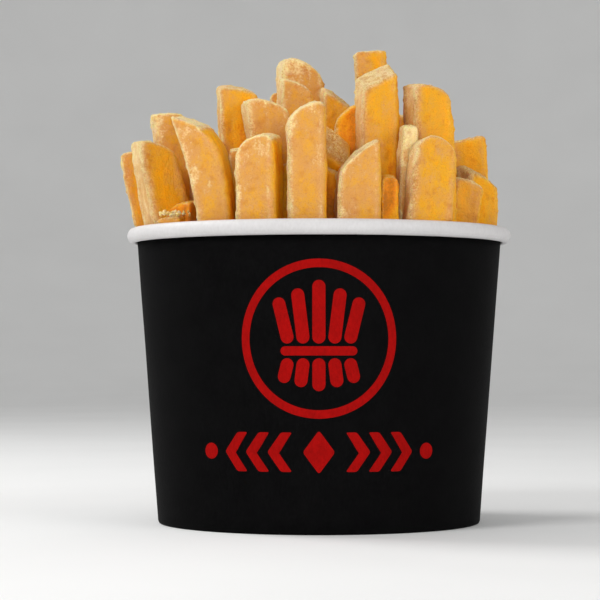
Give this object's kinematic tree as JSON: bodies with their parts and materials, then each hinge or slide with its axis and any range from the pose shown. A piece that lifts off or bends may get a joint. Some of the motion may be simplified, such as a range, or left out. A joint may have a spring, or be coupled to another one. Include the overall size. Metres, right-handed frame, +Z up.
{
  "type": "french fries in a carton",
  "caption": "Thick-cut french fries standing upright in a round tapered paper tub with a rolled rim, heaped above the rim",
  "frame": {"origin": "centre of the tub's round footprint, on the surface it stands on", "axes": "+Z up along the tub's axis and the fries, -Y towards the front of the print, +X to the viewer's right"},
  "size_m": [0.1189, 0.117, 0.144],
  "materials": {
    "tub_paper": "matte",
    "rim_paper": "satin",
    "base_paper": "matte",
    "fried_potato": "satin"
  },
  "bodies": {
    "root": {"tub_wall": "tub_paper", "tub_rim": "rim_paper", "tub_base": "base_paper", "fries": "fried_potato"}
  },
  "joints": []
}
